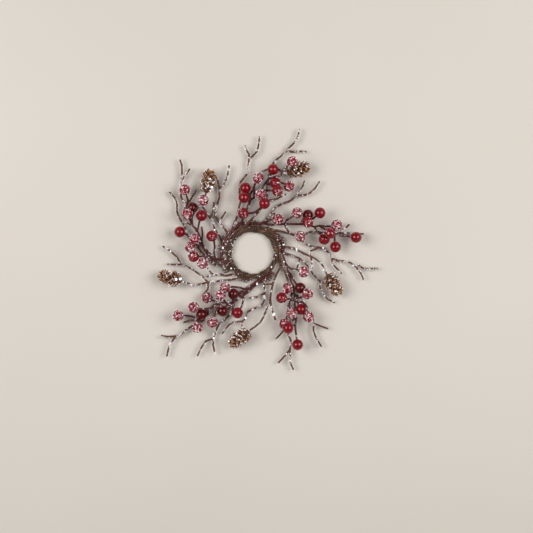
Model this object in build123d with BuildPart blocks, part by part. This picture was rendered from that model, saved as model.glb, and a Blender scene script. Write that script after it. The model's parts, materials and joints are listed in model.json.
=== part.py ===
import os
from math import cos, radians, sin, sqrt, tau

from build123d import *

os.makedirs("parts", exist_ok=True)

# Driving dimensions, in millimetres
pixel = 0.9             # real size of one photograph pixel
rise = 10.0             # height that the height shares follow
opening_d = 38.1        # candle opening inside the vine ring
vine_d = 1.8
vine_gap = 0.46         # least gap between two passes of the vine
binding_d = 1.15
binding_gap = 0.48      # least gap between two turns of a binding
binding_play = 0.12     # between a binding and what it holds
flat_depth = 0.5        # flat that the bindings stand on
twig_d = 1.7
twig_tip_d = 1.1
stem_d = 1.5
stalk_d = 1.2           # thin end of a berry stem
lane_gap = 0.22         # between two stems that lie side by side on the ring
berry_d = 10.0
berry_hole_depth = 3.0
socket_play = 0.08      # between a stem and the hole that it sits in
cone_length = 21.5
cone_core_d = 6.2
cone_base_d = 4.2
cone_hole_depth = 3.0
scale_length = 4.3
scale_width = 3.9
scale_thickness = 0.85
overrun = 5.0
same_point = 0.1        # points nearer than this are one point of a stem

# Counts, angles and factors
vine_loops = 3
vine_twists_per_loop = 6 + 1 / 3
strand_slope_factor = 1.0392     # room for strands that cross each other aslant
binding_loops = 3
lane_step_deg = 9.0
knob_factor = 1.12
seam_least = 0.2
fork_share = 0.45       # of the taper that is left where a stem forks
scale_count = 42
golden_deg = 137.508
ring_centre_px = (252.5, 252.7)
path_samples = 8        # between two stops of the vine, to measure its gap to itself
samples_apart = 24      # samples nearer than this along the vine are neighbours
binding_samples = 40    # on each turn of a binding
straight_enough = 1e-9
angle_nudge = 1e-4      # radians

# Worked-out sizes of the ring
twist_r = (vine_d + vine_gap) / sqrt(vine_loops) * strand_slope_factor
rope_r = twist_r + vine_d / 2
ring_r = opening_d / 2 + rope_r
wrap_r = rope_r + binding_play + binding_d / 2
ring_z = wrap_r + binding_d / 2 - flat_depth
lane_pitch = twig_d * knob_factor + lane_gap / 2
lane_r = [ring_r + rope_r + lane_gap + twig_d / 2 + lane_pitch * column for column in range(3)]
lane_z = {"low": ring_z - lane_pitch / 2, "high": ring_z + lane_pitch / 2}


def place(px, py, height_share):
    """A photograph pixel and a height share, as a point in millimetres."""
    return Vector((px - ring_centre_px[0]) * pixel, (ring_centre_px[1] - py) * pixel, height_share * rise)


def polar(radius, angle, height):
    return Vector(radius * cos(angle), radius * sin(angle), height)


def lane(column, row, start_deg, leave_deg):
    """Points of a stem that lies clockwise along the outside of the ring."""
    steps = max(1, round(abs(start_deg - leave_deg) / lane_step_deg))
    turn = (leave_deg - start_deg) / steps
    return [polar(lane_r[column], radians(start_deg + turn * step), lane_z[row]) for step in range(steps + 1)]


def biarc_joint(start, start_way, end, end_way):
    """The point and way where two arcs meet that leave start and reach end along given ways."""
    span = end - start
    both = start_way + end_way
    spread = 2 * (1 - start_way.dot(end_way))
    along = span.dot(both)
    if spread < straight_enough:
        reach = span.dot(span) / (2 * along)
    else:
        reach = (sqrt(along * along + spread * span.dot(span)) - along) / spread
    corner, last_corner = start + start_way * reach, end - end_way * reach
    return (corner + last_corner) / 2, last_corner - corner


def least_gap(points, skip, wire_d):
    """Least gap of a wire to itself, between points that lie more than skip apart along it."""
    least = None
    for first in range(0, len(points)):
        for second in range(first + skip, len(points)):
            apart = (points[first] - points[second]).length
            if least is None or apart < least:
                least = apart
    return least - wire_d


# Berries, each as a pixel and a height share
berries_px_share = {
    "top": {
        "a1": (243.3, 213.5, 1.5), "a2": (244, 197.9, 1.55), "a3": (245.3, 188, 0.95),
        "a4": (264.5, 204, 1.9), "a5": (260.6, 194.7, 1.4), "a6": (258.3, 178.6, 1.6),
        "a7": (273.1, 169.8, 1.4), "a8": (275.3, 183.2, 1.25), "a9": (277.5, 191.6, 1.9),
        "a10": (289, 186.5, 1.25), "a11": (292.1, 162.4, 1.95)},
    "right": {
        "b1": (277.7, 219.4, 1.2), "b2": (296.9, 213.1, 1.4), "b3": (307.9, 215, 0.9),
        "b4": (307.6, 222.4, 1.75), "b5": (319.8, 213.1, 1.4), "b6": (300.1, 236.4, 1.3),
        "b7": (329.6, 233.5, 1.9), "b8": (324.1, 239.4, 1.1), "b9": (336.5, 225.2, 1.45),
        "b10": (355.9, 237.4, 1.2), "b11": (335.3, 247, 1.2)},
    "lower_right": {
        "c1": (303.4, 272, 1.3), "c2": (287.2, 288.5, 1.2), "c3": (281.5, 297.7, 1.7),
        "c4": (300.2, 288, 1.0), "c5": (307.4, 293.8, 1.65), "c6": (301, 309.4, 0.95),
        "c7": (308.3, 316.8, 1.4), "c8": (291.5, 313.2, 1.4), "c9": (284.3, 323.7, 0.98),
        "c10": (287.9, 327.6, 1.9), "c11": (297.5, 344.6, 1.2)},
    "lower_left": {
        "d1": (178.4, 315.6, 1.2), "d2": (194, 307.1, 1.6), "d3": (207.3, 297.9, 0.9),
        "d4": (201.5, 314.3, 1.08), "d5": (212.6, 322.1, 1.4), "d6": (197.5, 327.6, 1.3),
        "d7": (237.6, 312.8, 1.3), "d8": (220.7, 295.3, 2.0), "d9": (225.2, 287.6, 1.35),
        "d10": (233.4, 294, 0.9), "d11": (222.3, 311, 0.75)},
    "left": {
        "e1": (185, 190, 1.2), "e2": (203.7, 200.7, 1.6), "e3": (192.5, 207.8, 0.9),
        "e4": (187.4, 214.1, 1.65), "e5": (201.9, 215.9, 1.4), "e6": (194.9, 239.4, 1.9),
        "e7": (180, 232, 1.1), "e8": (190.4, 247, 1.2), "e9": (194, 256.6, 1.65),
        "e10": (203, 263.5, 1.85), "e11": (212, 236.2, 1.5)},
}

# Pine cones, each as base and tip
cones_px_share = {
    "top_right": ((287, 173.5, 0.95), (310, 165.5, 0.85)),
    "top_left": ((206, 193, 1.0), (210.3, 169.8, 0.85)),
    "left": ((181.5, 281, 0.95), (158.5, 274.5, 0.85)),
    "bottom": ((249, 331, 0.95), (230, 345.5, 0.85)),
    "right": ((327, 274.5, 0.95), (341, 297, 0.85)),
}

# Stems: where each lies on the ring (column, row, start and leave angle), then its runs,
# each with the run and the point that it grows from; a run named like a berry ends in it
stems_px_share = {
    "berry_stem_top": ((1, "high", 184, 130), [
        ("main", None, 0, [(238, 225, 0.6), (242.2, 220.6, 0.7), (244.5, 214.5, 0.75), (247.4, 208, 0.75),
                           (250.8, 199.9, 0.8), (254.3, 197.1, 0.85), (254.2, 188.3, 0.9),
                           (254.6, 184.6, 1.0)]),
        ("a6", "main", 7, []),
        ("a1", "main", 1, []),
        ("a4", "main", 2, [(248.5, 213.7, 0.95), (256, 212, 1.1), (260.6, 208, 1.35)]),
        ("a2", "main", 4, [(248.5, 199.5, 1.1)]),
        ("a3", "main", 4, [(249.5, 195, 0.8)]),
        ("a5", "main", 5, []),
        ("upper", "main", 5, [(258, 193.2, 0.72), (262.5, 188.3, 0.78), (263.3, 185.4, 0.8),
                              (265.8, 183.3, 0.85)]),
        ("a8", "upper", 3, []),
        ("a9", "upper", 0, [(263, 190.5, 0.85), (268, 190.6, 1.2)]),
        ("a7", "upper", 2, [(268.8, 178.8, 0.95), (270.8, 175, 1.1)]),
        ("a11", "a7", 0, [(272, 178, 1.02), (275.4, 176.3, 1.2), (278.3, 177, 1.3), (280.8, 175.4, 1.4),
                          (282.1, 172.1, 1.5), (284.2, 169.6, 1.6), (287.5, 166.7, 1.75)]),
        ("a10", "upper", 3, [(270, 184.5, 0.62), (277, 184, 0.58), (281, 182.5, 0.75)])]),
    "berry_stem_right": (None, [
        ("main", None, 0, [(237, 223.3, 0.4), (245.5, 222.9, 0.4), (250.4, 222.7, 0.4), (256, 223, 0.4),
                           (262.9, 223.3, 0.42), (269.2, 224.8, 0.5), (284.6, 223.9, 0.7),
                           (299.9, 224.2, 0.85), (307.5, 225, 0.9), (314.6, 226.8, 0.9),
                           (319.5, 225.8, 0.9), (330, 226.3, 0.75), (335.6, 231.3, 0.75),
                           (340.2, 235.7, 0.75), (349, 236.6, 0.95)]),
        ("b10", "main", 14, []),
        ("b1", "main", 4, [(268, 220.8, 0.7), (271.5, 219.6, 0.9)]),
        ("b2", "main", 6, [(287.1, 219.8, 0.9), (292.2, 216.9, 1.15)]),
        ("b6", "main", 6, [(286.5, 228.7, 0.8), (289.7, 233.2, 0.95), (293.5, 234.8, 1.1)]),
        ("b3", "main", 7, [(303, 219.5, 0.8)]),
        ("b4", "main", 7, [(302.5, 223.6, 1.2)]),
        ("b5", "main", 8, [(310.8, 221.5, 0.95), (313, 218.8, 1.05)]),
        ("b7", "main", 10, [(324, 228.8, 1.25)]),
        ("b8", "main", 9, [(316.5, 231.3, 0.85), (320, 233.8, 0.9)]),
        ("b9", "main", 11, [(331.5, 226, 1.05)]),
        ("b11", "main", 12, [(334.6, 236, 0.75), (334.6, 240.5, 0.9)])]),
    "berry_stem_lower_right": ((2, "high", 37, 9), [
        ("main", None, 0, [(283.2, 255, 0.45), (285.6, 264, 0.5), (287.8, 271, 0.55), (290.7, 279.8, 0.65),
                           (293.2, 286.4, 0.75), (294.8, 298, 0.85), (294.6, 304, 0.75),
                           (295.5, 310, 0.58), (296.5, 318, 0.6), (295.3, 325, 0.7), (295.5, 330, 0.8),
                           (296.6, 338, 1.0)]),
        ("c11", "main", 11, []),
        ("c1", "main", 1, [(290.4, 268.6, 0.75), (297, 269.5, 1.05)]),
        ("c4", "main", 2, [(291, 274.5, 0.5), (292.8, 278.5, 0.5), (295.5, 283, 0.65)]),
        ("c5", "main", 5, [(300, 297.5, 1.1)]),
        ("c2", "main", 4, []),
        ("c3", "main", 5, [(290, 299, 1.1), (287.5, 298.8, 1.25)]),
        ("c8", "main", 5, [(290, 301.5, 0.92), (289, 306, 1.1)]),
        ("c6", "main", 5, [(298.3, 303.5, 0.85)]),
        ("c7", "c6", 0, [(302, 301.5, 1.1), (306.5, 306.5, 1.4)]),
        ("c9", "main", 8, [(291, 321.5, 0.7)]),
        ("c10", "main", 9, [(294.5, 325, 1.1), (292.5, 325.5, 1.4)])]),
    "berry_stem_lower_left": ((0, "high", 316, 286), [
        ("main", None, 0, [(255.4, 285, 0.5), (247.5, 290.3, 0.55), (243, 293, 0.6), (236.2, 298.9, 0.5),
                           (232.9, 304.7, 0.6)]),
        ("left", "main", 3, [(228, 306, 1.0), (222, 307, 1.3), (218, 307.6, 1.3), (208, 308.4, 1.32),
                             (200.5, 308.8, 1.47)]),
        ("d2", "left", 4, []),
        ("d7", "main", 2, [(243.4, 299.7, 0.8), (241.9, 306.3, 1.0)]),
        ("d10", "main", 2, [(240.4, 293, 0.75)]),
        ("d9", "main", 1, [(240, 287.5, 0.9), (233, 286.8, 1.1)]),
        ("d8", "left", 0, [(225, 301, 1.3)]),
        ("d11", "main", 4, [(229, 308.3, 0.7)]),
        ("d3", "left", 1, [(217, 302.8, 1.1), (213.7, 300.8, 0.98)]),
        ("d4", "left", 3, []),
        ("d5", "left", 2, [(215.5, 313, 1.25)]),
        ("low", "left", 3, [(208.2, 314.3, 0.78), (203, 318.5, 0.52), (198.5, 319, 0.6)]),
        ("d6", "low", 2, [(198.3, 322, 0.85)]),
        ("d1", "low", 2, [(192, 316.5, 0.7), (185.2, 315.4, 0.9)])]),
    "berry_stem_left": ((0, "high", 218, 193), [
        ("main", None, 0, [(221, 259, 0.52), (215, 258.8, 0.65), (209, 252.6, 0.8), (203.6, 246.5, 0.9),
                           (201.8, 240.4, 0.95), (202.6, 233.5, 1.0), (201.7, 227.4, 1.02)]),
        ("e4", "main", 4, [(197.5, 231.2, 1.0), (192.9, 225.8, 1.05), (190.2, 220.5, 1.2)]),
        ("e5", "e4", 0, [(199.2, 223, 1.1)]),
        ("e2", "e4", 2, [(192.5, 216, 1.15), (194.2, 212.5, 1.3), (196.3, 208.8, 1.42),
                         (199.6, 206.5, 1.48)]),
        ("e3", "e4", 1, [(191.8, 219.5, 0.8), (192, 214.5, 0.8)]),
        ("e1", "e3", 0, [(187.5, 213, 0.6), (186.5, 206, 0.55), (187.9, 200.4, 0.65),
                         (186.5, 195.4, 0.9)]),
        ("e7", "main", 3, [(197, 241, 0.8), (189.1, 237.3, 0.8), (186.5, 234.3, 0.88)]),
        ("e8", "main", 3, [(199.5, 246, 1.05)]),
        ("e6", "main", 3, [(201, 243.5, 1.3)]),
        ("e9", "main", 1, [(209.2, 256.3, 0.95), (203, 256.6, 1.2)]),
        ("e10", "main", 1, [(211, 261, 1.0), (207.5, 262.3, 1.4)]),
        ("e11", "main", 1, [(214, 253, 0.8), (214.7, 246.5, 0.95), (214.2, 241.5, 1.15)])]),
    "cone_stem_top_right": ((0, "low", 184, 131), [
        ("main", None, 0, [(237.5, 227.5, 0.2), (242, 221, 0.2), (246.5, 209, 0.3), (249.5, 200, 0.32),
                           (250, 193.8, 0.35), (252.5, 190.4, 0.4), (256, 181, 0.5), (259.6, 172.5, 0.65),
                           (268.3, 168.8, 0.7), (276, 167.5, 0.75)])]),
    "cone_stem_top_left": ((2, "low", 218, 163), [
        ("main", None, 0, [(219.7, 236.6, 0.28), (214.4, 228.9, 0.35), (212.8, 222, 0.4),
                           (209.8, 217.4, 0.42), (206.7, 212.8, 0.42), (202.5, 206.7, 0.45),
                           (201.5, 201, 0.5)]),
        ("prong", "main", 3, [(212.8, 212.1, 0.52), (213.6, 202.7, 0.55)])]),
    "cone_stem_left": ((0, "high", 268, 242), [
        ("main", None, 0, [(235, 279, 0.48), (228.3, 280.1, 0.5), (220, 280.8, 0.55), (207.8, 282.3, 0.6),
                           (200.8, 284.2, 0.65), (192.8, 285.1, 0.7)]),
        ("fork", "main", 3, [(202.9, 277.1, 0.6), (196.9, 272.6, 0.6), (191.3, 268.8, 0.55),
                             (188.3, 267.3, 0.55), (180.6, 264.2, 0.5)]),
        ("fork_side", "fork", 4, [(176.7, 264.6, 0.5), (167.8, 264.3, 0.5)]),
        ("fork_up", "fork", 4, [(176.8, 257.2, 0.5), (170.3, 251.2, 0.5), (162.9, 246.4, 0.5)]),
        ("down", "main", 3, [(207.8, 289.1, 0.5), (200.8, 297.2, 0.5)])]),
    "cone_stem_bottom": ((0, "low", 37, -14), [
        ("main", None, 0, [(280.5, 264, 0.22), (280.3, 268, 0.28), (277.5, 272.5, 0.4), (274.5, 279, 0.55),
                           (272.8, 284, 0.7), (271.2, 291, 0.75), (270.3, 298, 0.75), (267.5, 305.5, 0.75),
                           (266, 311, 0.75), (263.5, 317, 0.75), (260.5, 322, 0.75), (256, 326, 0.8)]),
        ("link", "main", 4, [(266.5, 284.2, 0.75)]),
        ("branch", "main", 6, [(271, 307, 0.75), (273.8, 314.5, 0.75), (275.3, 319.5, 0.7)])]),
    "cone_stem_right": ((2, "low", 37, 11), [
        ("main", None, 0, [(287, 247, 0.25), (293, 248, 0.4), (296.5, 249.8, 0.42), (304, 253.5, 0.5),
                           (311, 256.5, 0.55), (315, 258.5, 0.6), (319.5, 261.5, 0.65),
                           (323, 266, 0.75)]),
        ("cross_up", "main", 4, [(309, 252, 0.6)]),
        ("cross_down", "main", 4, [(311.8, 262, 0.6), (312, 267.5, 0.62)])]),
    "twig_top": ((1, "low", 184, 140), [
        ("main", None, 0, [(233, 226, 0.3), (236.5, 217.7, 0.35), (239.4, 205.1, 0.4), (240.5, 201.7, 0.42),
                           (239.4, 192.5, 0.42), (239.9, 182.7, 0.45), (243.9, 177.6, 0.45),
                           (248, 172.4, 0.45), (248.2, 164.4, 0.47), (249.1, 158.9, 0.5)]),
        ("left", "main", 9, [(248.8, 153.8, 0.5), (246.7, 150, 0.5), (245.2, 145.6, 0.5)]),
        ("right", "main", 9, [(252.5, 155.8, 0.5), (257.5, 150.4, 0.5), (258.8, 142.9, 0.5),
                              (259.5, 136.5, 0.5)])]),
    "twig_top_left": ((2, "high", 184, 142), [
        ("main", None, 0, [(223.6, 227.4, 0.4), (218.2, 221.3, 0.35), (214.9, 215.1, 0.3),
                           (215.9, 207.5, 0.3), (219, 197.5, 0.35), (219.3, 188, 0.45)]),
        ("right", "main", 5, [(223.6, 183.9, 0.5), (226.7, 178, 0.5), (228.2, 171, 0.5),
                              (229, 165.8, 0.5)]),
        ("left", "main", 5, [(218.3, 184, 0.5), (217.4, 179.9, 0.5), (214.8, 174.5, 0.45)]),
        ("side", "main", 1, [(222, 217, 0.45), (225.2, 212, 0.5)])]),
    "twig_top_right": ((0, "high", 184, 112), [
        ("main", None, 0, [(244.5, 225.7, 0.54), (247.2, 223.6, 0.63), (250.3, 220.6, 0.64),
                           (259.4, 210.9, 0.6), (265, 203, 0.5), (267, 198, 0.5), (267, 192, 0.4),
                           (267.3, 184, 0.35), (268.5, 176, 0.4), (271, 168.5, 0.45),
                           (273.3, 162.9, 0.5), (276.7, 159.2, 0.5), (280.8, 155.8, 0.5),
                           (286.3, 151.3, 0.5), (287.9, 148.8, 0.5)]),
        ("side", "main", 4, [(270.3, 199.9, 0.45), (276.3, 199, 0.5), (285.4, 194.2, 0.5)]),
        ("up", "main", 14, [(291.7, 145, 0.5), (295.8, 140.8, 0.5), (298.1, 135.8, 0.5),
                            (299.6, 129.2, 0.5)]),
        ("out", "main", 14, [(291.7, 151.7, 0.5), (299.2, 150.6, 0.5), (305.8, 151.5, 0.5)])]),
    "twig_upper_right": ((1, "low", 108, 76), [
        ("main", None, 0, [(264.6, 221.2, 0.22), (270.9, 212.6, 0.35), (275.5, 207.4, 0.4),
                           (282.4, 203.4, 0.4), (287.6, 202, 0.45), (291.6, 199.9, 0.45),
                           (296.5, 195.5, 0.5)]),
        ("up", "main", 6, [(299.6, 190.8, 0.5), (302.5, 186.7, 0.5), (304.5, 181, 0.5)]),
        ("out", "main", 6, [(305.4, 194.8, 0.5), (310.5, 192.5, 0.5), (315, 188.2, 0.5),
                            (319.4, 181.7, 0.5)]),
        ("side", "main", 1, [(275, 214, 0.45)])]),
    "twig_right": ((0, "low", 112, 74), [
        ("main", None, 0, [(268, 228.4, 0.3), (278.2, 230.6, 0.35), (289, 233.2, 0.4),
                           (298, 236.5, 0.4)]),
        ("upper", "main", 3, [(306.3, 233.5, 0.4), (310.1, 231.9, 0.4), (316.5, 231.3, 0.4),
                              (321.6, 232.5, 0.4), (330, 233.5, 0.4), (340, 233, 0.4), (352, 233.2, 0.45),
                              (363.8, 233.8, 0.5)]),
        ("sprig", "upper", 5, [(342, 229.5, 0.5), (346.4, 227.4, 0.55), (349.6, 224.2, 0.6)]),
        ("lower", "main", 3, [(303, 241.5, 0.4), (306, 244, 0.4), (310, 246, 0.4), (315, 246.8, 0.4),
                              (319, 247.3, 0.4), (323.5, 248.5, 0.4), (327, 251, 0.4), (330, 253.5, 0.4),
                              (331.5, 256.5, 0.45), (332.2, 259, 0.45)]),
        ("back", "lower", 4, [(315, 249.5, 0.45), (311, 250.8, 0.45)]),
        ("long", "lower", 9, [(335, 258.8, 0.45), (337.5, 260.5, 0.45), (341.5, 261.3, 0.45),
                              (345, 260.8, 0.45), (351, 263, 0.5), (354, 265.3, 0.5)]),
        ("long_out", "long", 5, [(359, 265.3, 0.5), (363, 268, 0.5), (366, 268.8, 0.5), (374, 268.5, 0.5),
                                 (378, 268.5, 0.5)]),
        ("long_down", "long", 5, [(357, 267.5, 0.5), (358, 270, 0.5), (360.5, 272.5, 0.5),
                                  (362.5, 276, 0.5), (363.6, 279.5, 0.5)]),
        ("short", "lower", 9, [(332.5, 263.5, 0.45), (335, 266.3, 0.45), (339, 270.5, 0.45),
                               (341.3, 273.4, 0.45)])]),
    "twig_right_low": ((1, "low", 37, 2), [
        ("main", None, 0, [(286.5, 253.8, 0.22), (291, 255, 0.3), (296, 256.5, 0.35), (300, 258.8, 0.4),
                           (304.5, 262, 0.4), (307.5, 265.5, 0.4), (313.5, 274.5, 0.4), (317.5, 279, 0.4),
                           (320.4, 281.3, 0.4), (325, 283, 0.38)]),
        ("down", "main", 8, [(320, 286, 0.45), (321.5, 290.5, 0.45), (324.5, 295, 0.45), (327.5, 299, 0.5),
                             (334.5, 302.5, 0.5)]),
        ("side", "main", 3, [(298.3, 263.5, 0.5), (297.2, 267.5, 0.6)])]),
    "twig_lower_right": ((0, "high", 37, -8), [
        ("main", None, 0, [(280.5, 258, 0.4), (283, 265.5, 0.4), (285.2, 272.5, 0.4), (288, 281, 0.4),
                           (290.3, 288, 0.4), (291.5, 293.5, 0.4), (291, 300, 0.4), (288, 306, 0.4),
                           (288.5, 313, 0.4), (285.5, 321, 0.3), (286, 329, 0.4)]),
        ("outer", "main", 5, [(297, 295.5, 0.4), (301, 299, 0.4), (304.5, 303, 0.4), (306.6, 307.5, 0.4),
                              (308.2, 311.5, 0.4), (313.5, 320, 0.45), (313.4, 323.3, 0.45)]),
        ("outer_side", "outer", 6, [(317, 324.8, 0.5), (323, 327, 0.5), (327.6, 328.8, 0.5)]),
        ("outer_down", "outer", 6, [(313.6, 330, 0.5), (315.2, 335.5, 0.5), (317.3, 340, 0.5),
                                    (321.4, 346.4, 0.5)]),
        ("stub", "main", 10, [(283.3, 331.3, 0.45), (278.5, 336.5, 0.5), (275.6, 339.5, 0.5)]),
        ("low", "main", 10, [(288, 333, 0.45), (288.6, 336, 0.5), (290.7, 340, 0.5), (291.2, 344.5, 0.5),
                             (289.8, 350, 0.5)]),
        ("low_left", "low", 4, [(287, 353.5, 0.5), (282.3, 359, 0.5), (278.7, 362.8, 0.5)]),
        ("low_down", "low", 4, [(290.7, 357, 0.5), (289.8, 360, 0.5), (290.7, 364, 0.5),
                                (293.3, 369.6, 0.5)])]),
    "twig_bottom": ((1, "high", 316, 291.5), [
        ("main", None, 0, [(264.4, 285, 0.4), (264.8, 293, 0.4), (264.3, 301, 0.4), (261.5, 305.5, 0.4),
                           (257, 307.5, 0.4), (252, 309.5, 0.4), (248.5, 311.5, 0.4), (246, 315, 0.4),
                           (245.5, 318, 0.4), (242.5, 321.5, 0.42), (241.7, 326, 0.45)]),
        ("branch", "main", 9, [(234, 322, 0.5), (229, 325, 0.5), (222.4, 333.3, 0.5)]),
        ("side", "main", 1, [(257, 297, 0.5), (249.5, 298, 0.5)])]),
    "twig_bottom_left": ((1, "low", 316, 287), [
        ("main", None, 0, [(254, 286.5, 0.2), (247.5, 292.5, 0.22), (241.5, 297, 0.25), (237.5, 299.5, 0.28),
                           (235, 302, 0.3), (231.3, 313, 0.35), (224.2, 320.5, 0.4), (219.4, 323.3, 0.4),
                           (216.8, 328, 0.45), (214.7, 333.7, 0.45), (213.5, 338.5, 0.5)]),
        ("left", "main", 10, [(205.8, 341.3, 0.5), (201.2, 347.8, 0.5), (197.3, 355.8, 0.5)]),
        ("down", "main", 10, [(212.8, 345, 0.5), (214.7, 353, 0.5)])]),
    "twig_lower_left": ((0, "low", 316, 284), [
        ("main", None, 0, [(254, 283.5, 0.22), (247, 288, 0.25), (241, 292.5, 0.25), (235, 297, 0.25),
                           (230, 301, 0.28), (224, 302.5, 0.3), (214, 305, 0.3), (207, 312, 0.3),
                           (203.5, 320.3, 0.35), (192, 326, 0.4), (186.2, 330, 0.45), (180.8, 334.5, 0.5),
                           (175.5, 336.3, 0.5)]),
        ("small", "main", 8, [(190.5, 320.5, 0.45), (184, 322.5, 0.5)]),
        ("left", "main", 12, [(168.8, 337, 0.5), (161.5, 336, 0.5)]),
        ("down", "main", 12, [(170.5, 343.5, 0.5), (168.3, 348.5, 0.5), (166.6, 356, 0.5)])]),
    "twig_left": ((0, "low", 268, 230), [
        ("main", None, 0, [(226, 275.8, 0.25), (220, 274.3, 0.32), (215.1, 274.6, 0.36),
                           (207.5, 276.6, 0.45)]),
        ("stub", "main", 2, [(211.3, 273.3, 0.5), (207.7, 268.5, 0.6)])]),
    "twig_tall_left": ((1, "high", 218, 196), [
        ("main", None, 0, [(219.3, 261.8, 0.52), (212, 259.7, 0.48), (206, 252.5, 0.42), (200.5, 244, 0.4),
                           (197.5, 234, 0.45), (195, 227.5, 0.5), (185.6, 221.3, 0.45), (186, 214, 0.4),
                           (185, 207.5, 0.35), (184.2, 204.2, 0.35), (180.7, 196.8, 0.4),
                           (180.2, 187, 0.45), (181.2, 180.5, 0.5)]),
        ("left", "main", 12, [(181.8, 173.8, 0.5), (181.5, 165, 0.5), (179.9, 160, 0.5)]),
        ("right", "main", 12, [(183.5, 176.5, 0.5), (186.7, 172.5, 0.5), (189.4, 169, 0.5)]),
        ("inner", "main", 9, [(189.5, 200.6, 0.4), (192.9, 195.2, 0.45), (196.5, 189.5, 0.45)])]),
    "twig_far_left": ((2, "high", 218, 200), [
        ("main", None, 0, [(217, 265.4, 0.33), (208.5, 260.5, 0.3), (201, 252, 0.3), (195, 243.5, 0.3),
                           (189, 237.3, 0.35), (185.3, 232.7, 0.4), (184.9, 227.4, 0.4),
                           (178.4, 216.7, 0.45), (176.5, 210.5, 0.45), (176.8, 204.4, 0.45),
                           (174.5, 197.5, 0.5), (169.5, 192.2, 0.5)])]),
}

# Bindings: angle round the ring and columns of stems that each holds
bindings_deg = {"left": (172, 3), "top": (84, 2), "right": (20, 3), "bottom": (300, 2),
                "bottom_left": (252, 1), "lower_left": (209.3, 3)}


def berry_centre(name):
    for spray in berries_px_share.values():
        if name in spray:
            return place(*spray[name])
    return None


def stem_runs(node):
    """Every run of a stem as (name, points, start radius, end radius, ends in a hole)."""
    where, runs = stems_px_share[node]
    wide = (stem_d if node.startswith("berry") else twig_d) / 2
    thin = (stalk_d if node.startswith("berry") else twig_tip_d) / 2
    made, first_own, out = {}, {}, []
    for name, parent, index, own in runs:
        points = [place(*point) for point in own]
        if parent is None:
            tail = lane(*where) if where else []
            first_own[name] = len(tail)
            points = tail + points
            start_r = wide
        else:
            at = first_own[parent] + index
            points = [made[parent][0][at]] + points
            first_own[name] = 1
            start_r = made[parent][1][at]
        centre = berry_centre(name)
        if centre:
            way = (centre - points[-1]).normalized()
            points.append(centre - way * (berry_d / 2 - berry_hole_depth))
        if name == "main" and node.startswith("cone_stem_"):
            base, tip = (place(*end) for end in cones_px_share[node[len("cone_stem_"):]])
            way = (tip - base).normalized()
            points += [base - way * twig_d, base + way * cone_hole_depth]
        lengths = [0]
        for one, two in zip(points, points[1:]):
            lengths.append(lengths[-1] + (two - one).length)
        carries = any(grows == name and at == len(own) - 1 for other, grows, at, places in runs)
        end_r = thin + (start_r - thin) * fork_share if carries else thin
        radii = [start_r + (end_r - start_r) * length / lengths[-1] for length in lengths]
        made[name] = (points, radii)
        seated = bool(centre) or (name == "main" and node.startswith("cone_stem_"))
        out.append((name, points, radii, seated))
    return out


# Vine ring, one vine wound three times and twisted on itself
def vine_point(angle):
    twist = vine_twists_per_loop * angle
    return polar(ring_r + twist_r * cos(twist), angle, ring_z + twist_r * sin(twist))


def vine_way(angle):
    return (vine_point(angle + angle_nudge) - vine_point(angle - angle_nudge)).normalized()


def swept_wire(name, stops, wire_d):
    """One unbroken tube on biarcs through stops, each a point and a way."""
    with BuildPart() as tube:
        with BuildLine() as path:
            for (start, start_way), (end, end_way) in zip(stops, stops[1:]):
                joint, joint_way = biarc_joint(start, start_way, end, end_way)
                TangentArc(start, joint, tangent=start_way)
                TangentArc(joint, end, tangent=joint_way)
        with BuildSketch(Plane(origin=stops[0][0], z_dir=stops[0][1])):
            Circle(wire_d / 2)
        sweep()
    tube.part.label = name
    return tube, path


vine_quarters = round(vine_loops * vine_twists_per_loop * 4)
vine_step = vine_loops * tau / vine_quarters
vine_stops = [(vine_point(vine_step * turn), vine_way(vine_step * turn)) for turn in range(vine_quarters)]
vine_ring, vine_path = swept_wire("vine_ring", vine_stops, vine_d)
samples = vine_quarters * path_samples
vine_points = [vine_path.line @ (step / samples) for step in range(samples + 1)]
print("vine least gap to itself", round(least_gap(vine_points, samples_apart, vine_d), 3))
print("vine", round(vine_ring.part.volume, 1), vine_ring.part.is_valid, len(vine_ring.part.solids()))
export_step(vine_ring.part, "parts/vine_ring.step")


# Bindings, each wound round the rope and the stems beside it
def binding_stops(middle_deg, columns):
    """Points and ways of a binding: half circles round rope and stems, joined above and below."""
    far_r = lane_r[columns - 1]
    turn_step = (binding_d + binding_gap) / (ring_r - wrap_r)
    start = radians(middle_deg) - turn_step * (binding_loops - 1 / 2) / 2
    stops = []
    for loop in range(binding_loops):
        near, far = start + turn_step * loop, start + turn_step * (loop + 1 / 2)
        inward, outward = polar(-1, near, 0), polar(1, far, 0)
        up = Vector(0, 0, 1)
        stops += [(polar(ring_r, near, ring_z - wrap_r), inward),
                  (polar(ring_r - wrap_r, near, ring_z), up),
                  (polar(ring_r, near, ring_z + wrap_r), -inward),
                  (polar(far_r, far, ring_z + wrap_r), outward),
                  (polar(far_r + wrap_r, far, ring_z), -up),
                  (polar(far_r, far, ring_z - wrap_r), -outward)]
    return stops


for side, (middle_deg, columns) in bindings_deg.items():
    binding, wire = swept_wire(f"binding_wire_{side}", binding_stops(middle_deg, columns), binding_d)
    steps = binding_samples * binding_loops
    wire_points = [wire.line @ (step / steps) for step in range(steps + 1)]
    print(side, "binding least gap to itself", round(least_gap(wire_points, binding_samples // 2, binding_d), 3))
    block = 2 * (lane_r[-1] + wrap_r + overrun)
    with binding:
        with Locations(Pos(0, 0, 0)):
            Box(block, block, overrun, align=(Align.CENTER, Align.CENTER, Align.MAX), mode=Mode.SUBTRACT)
    binding.part.label = f"binding_wire_{side}"
    print(side, round(binding.part.volume, 2), binding.part.is_valid, len(binding.part.solids()))
    export_step(binding.part, f"parts/binding_wire_{side}.step")


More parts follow.
